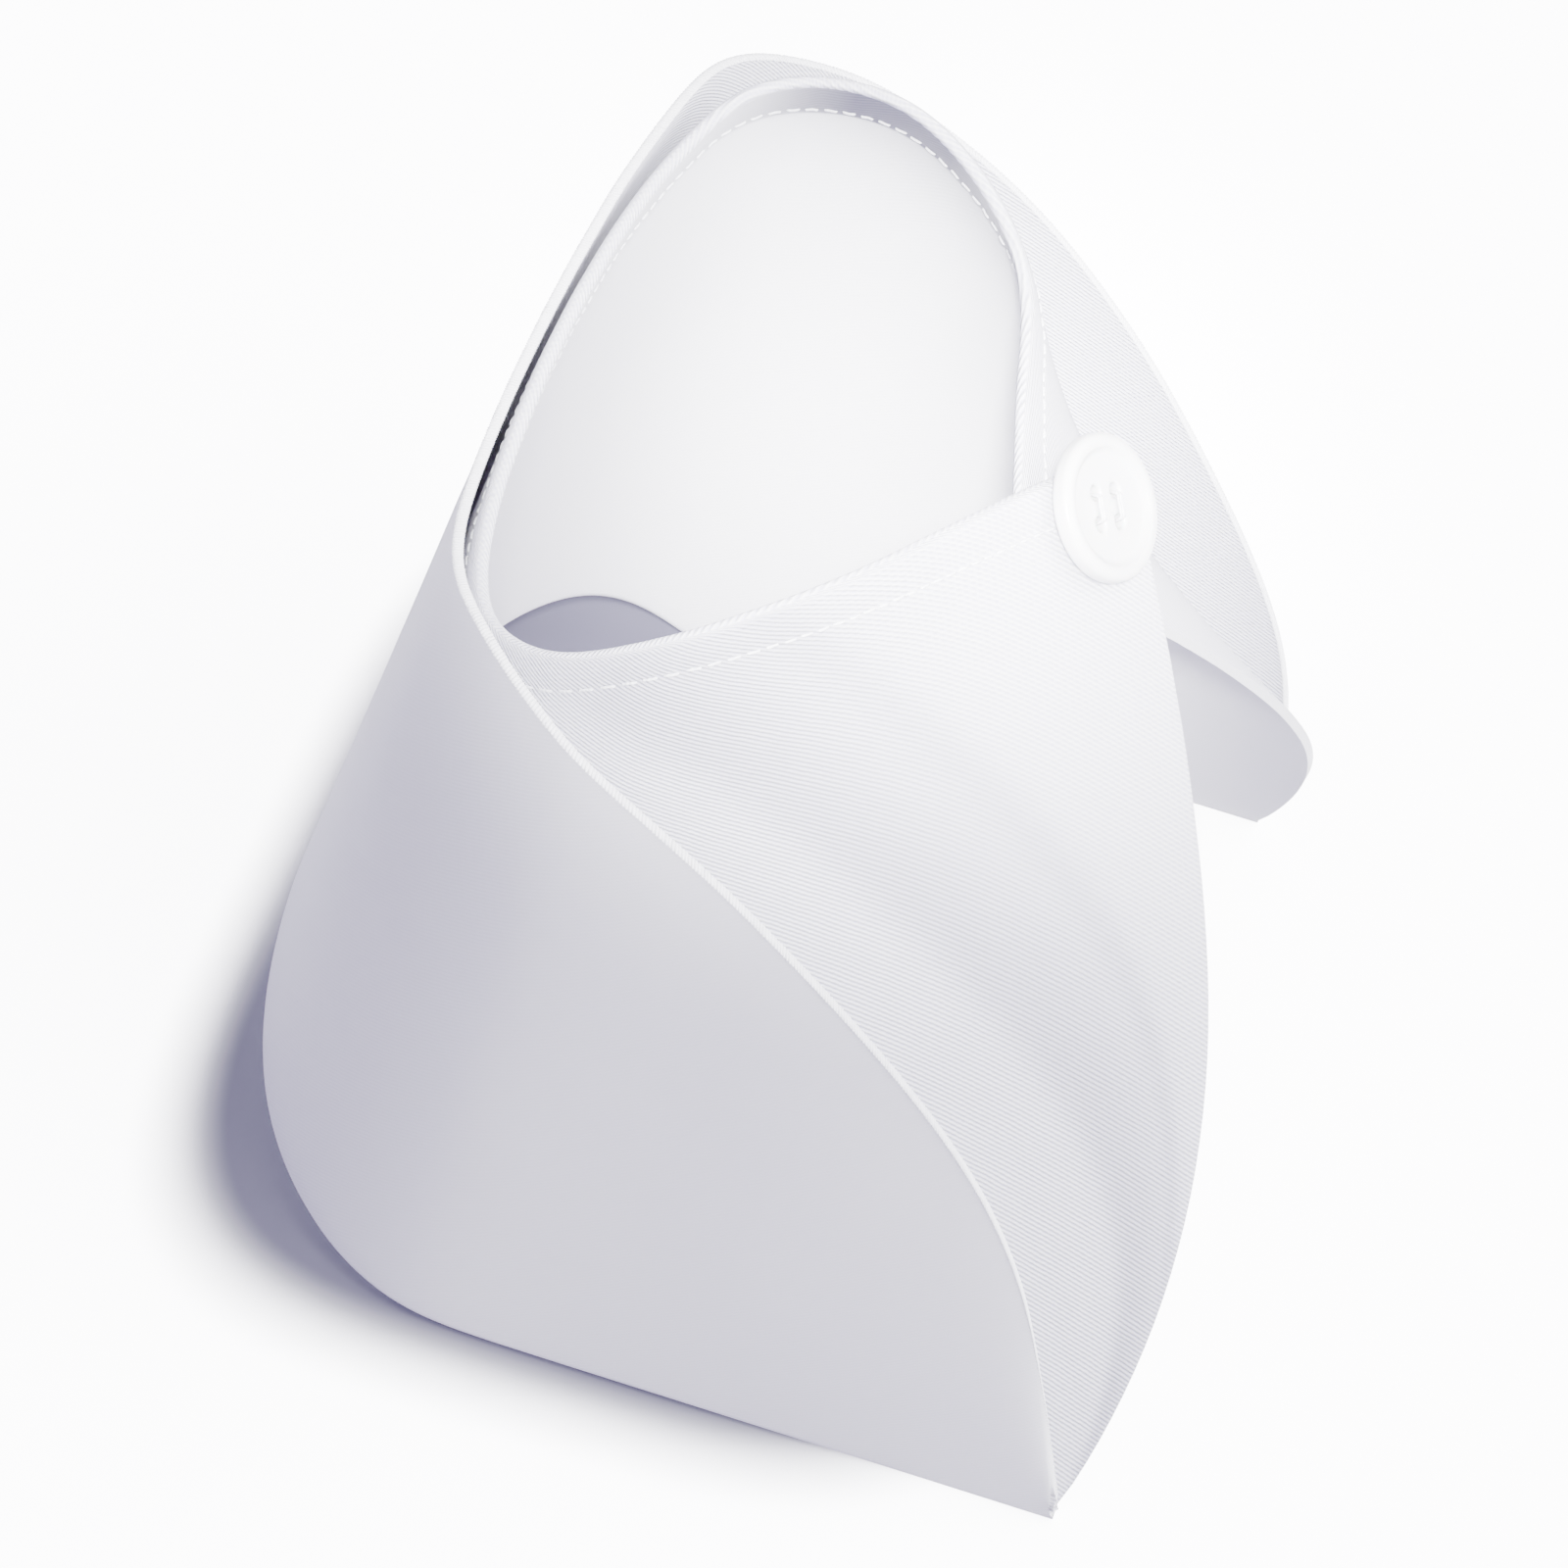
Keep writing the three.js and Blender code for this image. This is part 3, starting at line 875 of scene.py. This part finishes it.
def make_thread_ends(sheet, material):
    """The cut ends of the twill's threads, side by side over the edge of the cuff. Each is a
    short bar that goes from the face to the back, a share of the way at a time."""
    face_row = sheet["face"][:, -1]
    back_row = sheet["back"][:, -1]
    past_edge = unit(face_row + back_row - sheet["face"][:, -2] - sheet["back"][:, -2])
    run = distance_along(face_row)
    vertices = []
    faces = []
    paths = []
    maker = random.Random(8)
    for at in np.arange(0.4, run[-1] - 0.4, thread_end_pitch):
        reach = maker.uniform(0.05, 0.2)
        path = []
        for share, bulge in ((-0.04, -1.2), (0.2, 0.7), (0.8, 0.7), (1.08, -1.2)):
            slide = at + (share - 0.5) * thread_end_width
            face, back, past = (value_at(row, run, slide) for row in (face_row, back_row, past_edge))
            path.append(to_frame(face * (1 - share) + back * share + past * (reach * bulge + 0.06)))
        paths.append(path)
    tube_mesh(paths, thread_end_width / 2 * MM, 6, vertices, faces)
    return add_mesh("cut_edge_ends", vertices, faces, (material,))


# The button and its thread

def button_seat():
    """The matrix that puts the button's middle on the crown's outer face, at the lap."""
    places = np.linspace(last_section - 1, last_section, 4001)
    hem_x = crown_point(places, np.ones((len(places), 1)))[:, 0, 0]
    place = places[np.argmax(hem_x <= -button_side)]
    reach = 0.02
    near = np.array([place - reach, place, min(place + reach, last_section)])
    ends = crown_point(near[1:2], np.array([[1.0, 0.0]]))[0]
    height = np.linalg.norm(ends[0] - ends[1])
    rise = 1 - button_from_hem / height
    grid = crown_point(near, np.array([[rise - reach, rise, 1.0]] * 3))
    left = grid[2, 1] - grid[0, 1]
    over = crown_point(near[1:2], np.array([[rise + reach, rise - reach]]))[0]
    out = Vector(np.cross(left, over[0] - over[1])).normalized()
    down = Vector(grid[1, 1] - grid[1, 2])
    across = out.cross(down).normalized()
    along = across.cross(out)
    seat = Vector(to_frame(grid[1, 1])) + out * (cloth_thickness / 2 * MM)
    return matrix_of(across, out, along, seat)


def lathe(profile, sides):
    """Vertices and faces of a profile of (radius, height) turned about the second axis."""
    vertices = []
    faces = []
    rows = []
    for radius, height in profile:
        if radius == 0:
            rows.append([len(vertices)] * sides)
            vertices.append((0, height * MM, 0))
            continue
        rows.append([len(vertices) + k for k in range(sides)])
        for k in range(sides):
            angle = 2 * math.pi * k / sides
            vertices.append((radius * math.cos(angle) * MM, height * MM, -radius * math.sin(angle) * MM))
    for low, high in zip(rows, rows[1:]):
        for k in range(sides):
            after = (k + 1) % sides
            corners = [low[k], low[after], high[after], high[k]]
            unique = [c for n, c in enumerate(corners) if c not in corners[:n]]
            if len(unique) > 2:
                faces.append(tuple(unique))
    return vertices, faces


def arc(centre, radius, start, end, steps):
    return [(centre[0] + radius * math.cos(math.radians(start + (end - start) * i / steps)),
             centre[1] + radius * math.sin(math.radians(start + (end - start) * i / steps)))
            for i in range(steps + 1)]


def button_profile():
    radius = button_diameter / 2
    low = shank_height
    top = shank_height + button_thickness
    floor = top - button_dish
    rim = button_rim_width / 2
    profile = [(0, low), (radius * 0.5, low), (radius - 1.6, low + 0.05)]
    profile += arc((radius - button_low_round, low + button_low_round), button_low_round, -80, 0, 6)
    profile += arc((radius - button_top_round, top - button_top_round), button_top_round, 0, 90, 8)[1:]
    profile += arc((radius - rim - 0.1, top - button_rim_round), button_rim_round, 90, 150, 5)[1:]
    inner = radius - button_rim_width
    profile += [(inner + 0.25, floor + 0.35), (inner, floor + 0.12), (inner - 0.4, floor)]
    profile += [(inner * 0.6, floor - 0.04), (2.0, floor - 0.08), (0, floor - 0.08)]
    return profile


def hole_centres():
    half = hole_spacing / 2
    return [(-half, -half), (-half, half), (half, -half), (half, half)]


def cut_holes(piece):
    """Four holes with softened mouths."""
    top = shank_height + button_thickness - button_dish
    radius = hole_diameter / 2
    profile = [(0, 0), (radius + 0.5, 0), (radius, shank_height + 0.5), (radius, top - 0.5),
               (radius + 0.12, top - 0.22), (radius + 0.4, top), (radius + 0.6, top + 0.4), (0, top + 0.4)]
    vertices, faces = lathe(profile, 28)
    for x, z in hole_centres():
        moved = [(v[0] + x * MM, v[1], v[2] + z * MM) for v in vertices]
        cutter = add_mesh("hole_cutter", moved, faces)
        cut = piece.modifiers.new("hole", "BOOLEAN")
        cut.object = cutter
        cut.solver = "EXACT"
        with bpy.context.temp_override(object=piece, active_object=piece):
            bpy.ops.object.modifier_apply(modifier=cut.name)
        bpy.data.objects.remove(cutter)


def make_button(material, seat):
    vertices, faces = lathe(button_profile(), 96)
    piece = add_mesh("round_button", vertices, faces, (material,))
    cut_holes(piece)
    piece.data.transform(seat)
    piece.data.polygons.foreach_set("use_smooth", [True] * len(piece.data.polygons))
    piece.data.set_sharp_from_angle(angle=math.radians(40))
    return piece


def strand_paths():
    """Three strands from hole to hole over each side of the button."""
    half = hole_spacing / 2
    floor = shank_height + button_thickness - button_dish
    paths = []
    for x in (-half, half):
        for strand in (-strand_spacing, 0.0, strand_spacing):
            height = middle_strand_height if strand == 0 else side_strand_height
            path = []
            for i in range(strand_steps + 1):
                share = i / strand_steps
                from_middle = abs(share - 0.5) * 2
                lift = floor + 0.1 + height * min(1, math.sin(math.pi * share) * 2.2)
                fall = strand_dip * max(0, from_middle - 0.8) / 0.2
                path.append((x + strand * (1 - 0.5 * from_middle ** 4), lift - fall,
                             (share - 0.5) * hole_spacing))
            paths.append(path)
    return paths


def shank_coil():
    """The thread wound round the shank."""
    radius = shank_diameter / 2 - 0.45
    last = shank_turns * coil_steps
    coil = []
    for i in range(last + 1):
        angle = 2 * math.pi * i / coil_steps
        height = 0.5 + (shank_height - 0.8) * i / last
        coil.append((radius * math.cos(angle), height, radius * math.sin(angle)))
    return coil


def make_thread(material, seat):
    """The strands over the button, and the wound shank with its core under it."""
    vertices = []
    faces = []
    strands = [[Vector(p) * MM for p in path] for path in strand_paths()]
    tube_mesh(strands, strand_width / 2 * MM, 8, vertices, faces)
    tube_mesh([[Vector(p) * MM for p in shank_coil()]], coil_width / 2 * MM, 8, vertices, faces)
    core_radius = shank_diameter / 2 - 0.6
    core_top = shank_height - 0.1
    core, core_faces = lathe([(0, 0.2), (core_radius, 0.2), (core_radius, core_top), (0, core_top)], 24)
    start = len(vertices)
    vertices += [Vector(v) for v in core]
    faces += [tuple(start + k for k in face) for face in core_faces]
    piece = add_mesh("button_stitches", vertices, faces, (material,))
    piece.data.transform(seat)
    return piece


# Floor, light and camera

def make_floor(material):
    """A pale floor, whose painted glow is kept off the cap."""
    reach = 3.0
    low = -0.0002
    corners = [(-reach, -reach, low), (reach, -reach, low), (reach, reach, low), (-reach, reach, low)]
    floor = add_mesh("floor", corners, [(0, 1, 2, 3)], (material,), smooth=False)
    floor.visible_diffuse = False


def make_world():
    """A dim lavender room with a broad soft light overhead, towards the tails."""
    world = bpy.data.worlds.new("studio")
    bpy.context.scene.world = world
    world.use_nodes = True
    tree = world.node_tree
    toward = add_node(tree, "ShaderNodeTexCoord").outputs["Generated"]
    height = add_node(tree, "ShaderNodeSeparateXYZ", inputs={0: toward}).outputs[2]
    above = add_node(tree, "ShaderNodeMapRange", inputs={0: height, 1: -0.1, 2: 0.3}).outputs[0]
    room = blend_of(tree, above, room_low, room_high)
    facing = add_node(tree, "ShaderNodeVectorMath", operation="DOT_PRODUCT",
                      inputs={0: toward, 1: Vector(overhead_toward).normalized()}).outputs["Value"]
    lobe = math_of(tree, "POWER", math_of(tree, "MAXIMUM", facing, 0.0), overhead_narrowness)
    light = add_node(tree, "ShaderNodeMix", data_type="RGBA", blend_type="ADD",
                     inputs={0: lobe, 6: room, 7: overhead_light}).outputs[2]
    tree.links.new(light, tree.nodes["Background"].inputs[0])


def make_spot():
    """A narrow lamp on the inside of the far wall."""
    data = bpy.data.lights.new("inside", "SPOT")
    data.spot_size = math.radians(spot_angle)
    data.spot_blend = 1.0
    data.shadow_soft_size = spot_size
    data.energy = spot_power
    light = bpy.data.objects.new("inside", data)
    bpy.context.scene.collection.objects.link(light)
    light.location = spot_place
    light.rotation_euler = (Vector(spot_target) - Vector(spot_place)).to_track_quat("-Z", "Y").to_euler()


def make_camera():
    azimuth = math.radians(camera_azimuth)
    elevation = math.radians(camera_elevation)
    roll = math.radians(camera_roll)
    back = Vector((math.sin(azimuth) * math.cos(elevation), -math.cos(azimuth) * math.cos(elevation),
                   math.sin(elevation)))
    right = Vector((math.cos(azimuth), math.sin(azimuth), 0))
    up = back.cross(right)
    turned_right = right * math.cos(roll) + up * math.sin(roll)
    turned_up = up * math.cos(roll) - right * math.sin(roll)
    place = Vector(to_frame(camera_target)) + back * (camera_distance * MM)
    data = bpy.data.cameras.new("camera")
    data.sensor_width = sensor_width
    data.lens = sensor_width * pixels_per_mm * camera_distance / picture_width
    data.shift_x = shift_across / picture_width
    data.shift_y = shift_up / picture_width
    data.clip_start = 0.05
    data.clip_end = 20
    camera = bpy.data.objects.new("camera", data)
    bpy.context.scene.collection.objects.link(camera)
    camera.matrix_world = matrix_of(turned_right, turned_up, back, place)
    bpy.context.scene.camera = camera


make_camera()
make_world()
make_spot()
make_floor(floor_material())

twill_face = cloth_material("twill_face", pitch=0.62, turn=19, thread_pitch=1.1, relief=0.28, rib_shade=0.7)
twill_back = cloth_material("twill_back", pitch=0.55, turn=35, thread_pitch=0.6, relief=0.03, rib_shade=0.1)
cut_edge = cut_edge_material()
sheet = make_sheet()
cap_cloth = make_cap_cloth(sheet, twill_face, twill_back, cut_edge)
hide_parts("crown", "turned_up_cuff")
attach(cap_cloth, "root")

cut_edge_ends = make_thread_ends(sheet, cut_edge)
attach(cut_edge_ends, "root")

thread = thread_material()
hem_stitches = make_hem_stitches(sheet, thread)
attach(hem_stitches, "root")

seat = button_seat()
round_button = make_button(button_material(), seat)
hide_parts("back_button")
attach(round_button, "root")
button_stitches = make_thread(thread, seat)
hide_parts("button_thread")
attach(button_stitches, "root")
